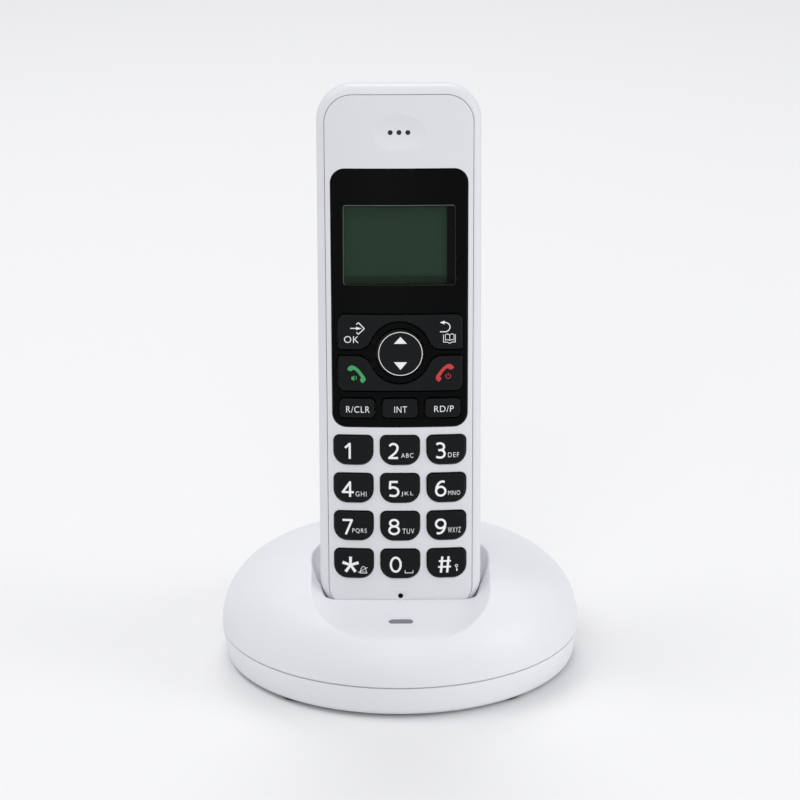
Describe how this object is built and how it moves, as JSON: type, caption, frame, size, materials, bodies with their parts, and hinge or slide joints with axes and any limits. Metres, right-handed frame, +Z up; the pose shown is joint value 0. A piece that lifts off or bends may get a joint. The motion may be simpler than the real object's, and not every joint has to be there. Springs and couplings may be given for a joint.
{
  "type": "cordless telephone with charging base",
  "caption": "Slim cordless telephone handset with display and raised keys, standing in a round domed charging base; it lifts out, and its keys, door and page key move.",
  "frame": {"origin": "centre of the round base, on the surface that its feet stand on", "axes": "+Z up; the keys and display face -Y; +X is to the right of someone who looks at the keys"},
  "size_m": [0.106, 0.106, 0.173],
  "materials": {
    "white_shell": "satin white moulded shell",
    "panel_black": "smooth black",
    "key_black": "satin black key caps",
    "window_clear": "clear lens",
    "lcd_glass": "unlit display glass",
    "silicone": "soft grey",
    "board_green": "solder mask",
    "foot_rubber": "matte black",
    "screw_steel": "zinc plated",
    "part_black": "moulded black",
    "smoke_grey": "translucent grey",
    "cell_jacket": "printed jacket, plain green",
    "contact_nickel": "nickel plated spring metal"
  },
  "bodies": {
    "base": {"base_upper_shell": "white_shell", "base_lower_shell": "white_shell", "socket_plate": "white_shell", "foot_front_left": "foot_rubber", "foot_front_right": "foot_rubber", "foot_rear_left": "foot_rubber", "foot_rear_right": "foot_rubber", "base_screw_front_left": "screw_steel", "base_screw_front_right": "screw_steel", "base_screw_rear_left": "screw_steel", "base_screw_rear_right": "screw_steel", "base_circuit_board": "board_green", "charge_contact_left": "contact_nickel", "charge_contact_right": "contact_nickel", "line_socket": "part_black", "power_socket": "part_black", "page_switch": "part_black", "charge_light_guide": "smoke_grey"},
    "page_key": {"page_key": "smoke_grey"},
    "handset": {"handset_front_cover": "white_shell", "handset_rear_housing": "white_shell", "control_panel": "panel_black", "display_window": "window_clear", "lcd_module": "lcd_glass", "keypad_mat": "silicone", "handset_circuit_board": "board_green", "earpiece_speaker": "part_black", "microphone": "screw_steel", "loudspeaker": "part_black", "battery_cell_left": "cell_jacket", "battery_spring_left": "contact_nickel", "battery_plate_left": "contact_nickel", "charge_pin_left": "contact_nickel", "battery_cell_right": "cell_jacket", "battery_spring_right": "contact_nickel", "battery_plate_right": "contact_nickel", "charge_pin_right": "contact_nickel"},
    "battery_door": {"battery_door": "white_shell"},
    "key_1": {"key_1": "key_black"},
    "key_2": {"key_2": "key_black"},
    "key_3": {"key_3": "key_black"},
    "key_4": {"key_4": "key_black"},
    "key_5": {"key_5": "key_black"},
    "key_6": {"key_6": "key_black"},
    "key_7": {"key_7": "key_black"},
    "key_8": {"key_8": "key_black"},
    "key_9": {"key_9": "key_black"},
    "key_star": {"key_star": "key_black"},
    "key_0": {"key_0": "key_black"},
    "key_hash": {"key_hash": "key_black"},
    "key_recall": {"key_recall": "key_black"},
    "key_intercom": {"key_intercom": "key_black"},
    "key_redial": {"key_redial": "key_black"},
    "nav_key": {"nav_key": "key_black"},
    "rocker_ok_back": {"rocker_ok_back": "key_black"},
    "rocker_talk_end": {"rocker_talk_end": "key_black"}
  },
  "joints": [
    {"name": "handset_lift", "type": "slide", "parent": "base", "child": "handset", "axis": [0, 0.1736, 0.9848], "range_m": [0, 0.06]},
    {"name": "page_key_press", "type": "slide", "parent": "base", "child": "page_key", "axis": [0, -1, 0], "range_m": [0, 0.0008], "stiffness_N_per_m": 1200},
    {"name": "battery_door_slide", "type": "slide", "parent": "handset", "child": "battery_door", "axis": [0, -0.1736, -0.9848], "range_m": [0, 0.009]},
    {"name": "key_1_press", "type": "slide", "parent": "handset", "child": "key_1", "axis": [0, 0.9848, -0.1736], "range_m": [0, 0.0008], "stiffness_N_per_m": 1500},
    {"name": "key_2_press", "type": "slide", "parent": "handset", "child": "key_2", "axis": [0, 0.9848, -0.1736], "range_m": [0, 0.0008], "stiffness_N_per_m": 1500},
    {"name": "key_3_press", "type": "slide", "parent": "handset", "child": "key_3", "axis": [0, 0.9848, -0.1736], "range_m": [0, 0.0008], "stiffness_N_per_m": 1500},
    {"name": "key_4_press", "type": "slide", "parent": "handset", "child": "key_4", "axis": [0, 0.9848, -0.1736], "range_m": [0, 0.0008], "stiffness_N_per_m": 1500},
    {"name": "key_5_press", "type": "slide", "parent": "handset", "child": "key_5", "axis": [0, 0.9848, -0.1736], "range_m": [0, 0.0008], "stiffness_N_per_m": 1500},
    {"name": "key_6_press", "type": "slide", "parent": "handset", "child": "key_6", "axis": [0, 0.9848, -0.1736], "range_m": [0, 0.0008], "stiffness_N_per_m": 1500},
    {"name": "key_7_press", "type": "slide", "parent": "handset", "child": "key_7", "axis": [0, 0.9848, -0.1736], "range_m": [0, 0.0008], "stiffness_N_per_m": 1500},
    {"name": "key_8_press", "type": "slide", "parent": "handset", "child": "key_8", "axis": [0, 0.9848, -0.1736], "range_m": [0, 0.0008], "stiffness_N_per_m": 1500},
    {"name": "key_9_press", "type": "slide", "parent": "handset", "child": "key_9", "axis": [0, 0.9848, -0.1736], "range_m": [0, 0.0008], "stiffness_N_per_m": 1500},
    {"name": "key_star_press", "type": "slide", "parent": "handset", "child": "key_star", "axis": [0, 0.9848, -0.1736], "range_m": [0, 0.0008], "stiffness_N_per_m": 1500},
    {"name": "key_0_press", "type": "slide", "parent": "handset", "child": "key_0", "axis": [0, 0.9848, -0.1736], "range_m": [0, 0.0008], "stiffness_N_per_m": 1500},
    {"name": "key_hash_press", "type": "slide", "parent": "handset", "child": "key_hash", "axis": [0, 0.9848, -0.1736], "range_m": [0, 0.0008], "stiffness_N_per_m": 1500},
    {"name": "key_recall_press", "type": "slide", "parent": "handset", "child": "key_recall", "axis": [0, 0.9848, -0.1736], "range_m": [0, 0.0008], "stiffness_N_per_m": 1500},
    {"name": "key_intercom_press", "type": "slide", "parent": "handset", "child": "key_intercom", "axis": [0, 0.9848, -0.1736], "range_m": [0, 0.0008], "stiffness_N_per_m": 1500},
    {"name": "key_redial_press", "type": "slide", "parent": "handset", "child": "key_redial", "axis": [0, 0.9848, -0.1736], "range_m": [0, 0.0008], "stiffness_N_per_m": 1500},
    {"name": "nav_key_rock", "type": "hinge", "parent": "handset", "child": "nav_key", "pos_m": [0, -0.01568, 0.09794], "axis": [1, 0, 0], "range_deg": [-2.5, 2.5], "stiffness_Nm_per_rad": 0.08},
    {"name": "rocker_ok_back_rock", "type": "hinge", "parent": "handset", "child": "rocker_ok_back", "pos_m": [0, -0.01568, 0.09794], "axis": [0, 0.1736, 0.9848], "range_deg": [-1.6, 1.6], "stiffness_Nm_per_rad": 0.5},
    {"name": "rocker_talk_end_rock", "type": "hinge", "parent": "handset", "child": "rocker_talk_end", "pos_m": [0, -0.01568, 0.09794], "axis": [0, 0.1736, 0.9848], "range_deg": [-1.6, 1.6], "stiffness_Nm_per_rad": 0.5}
  ]
}
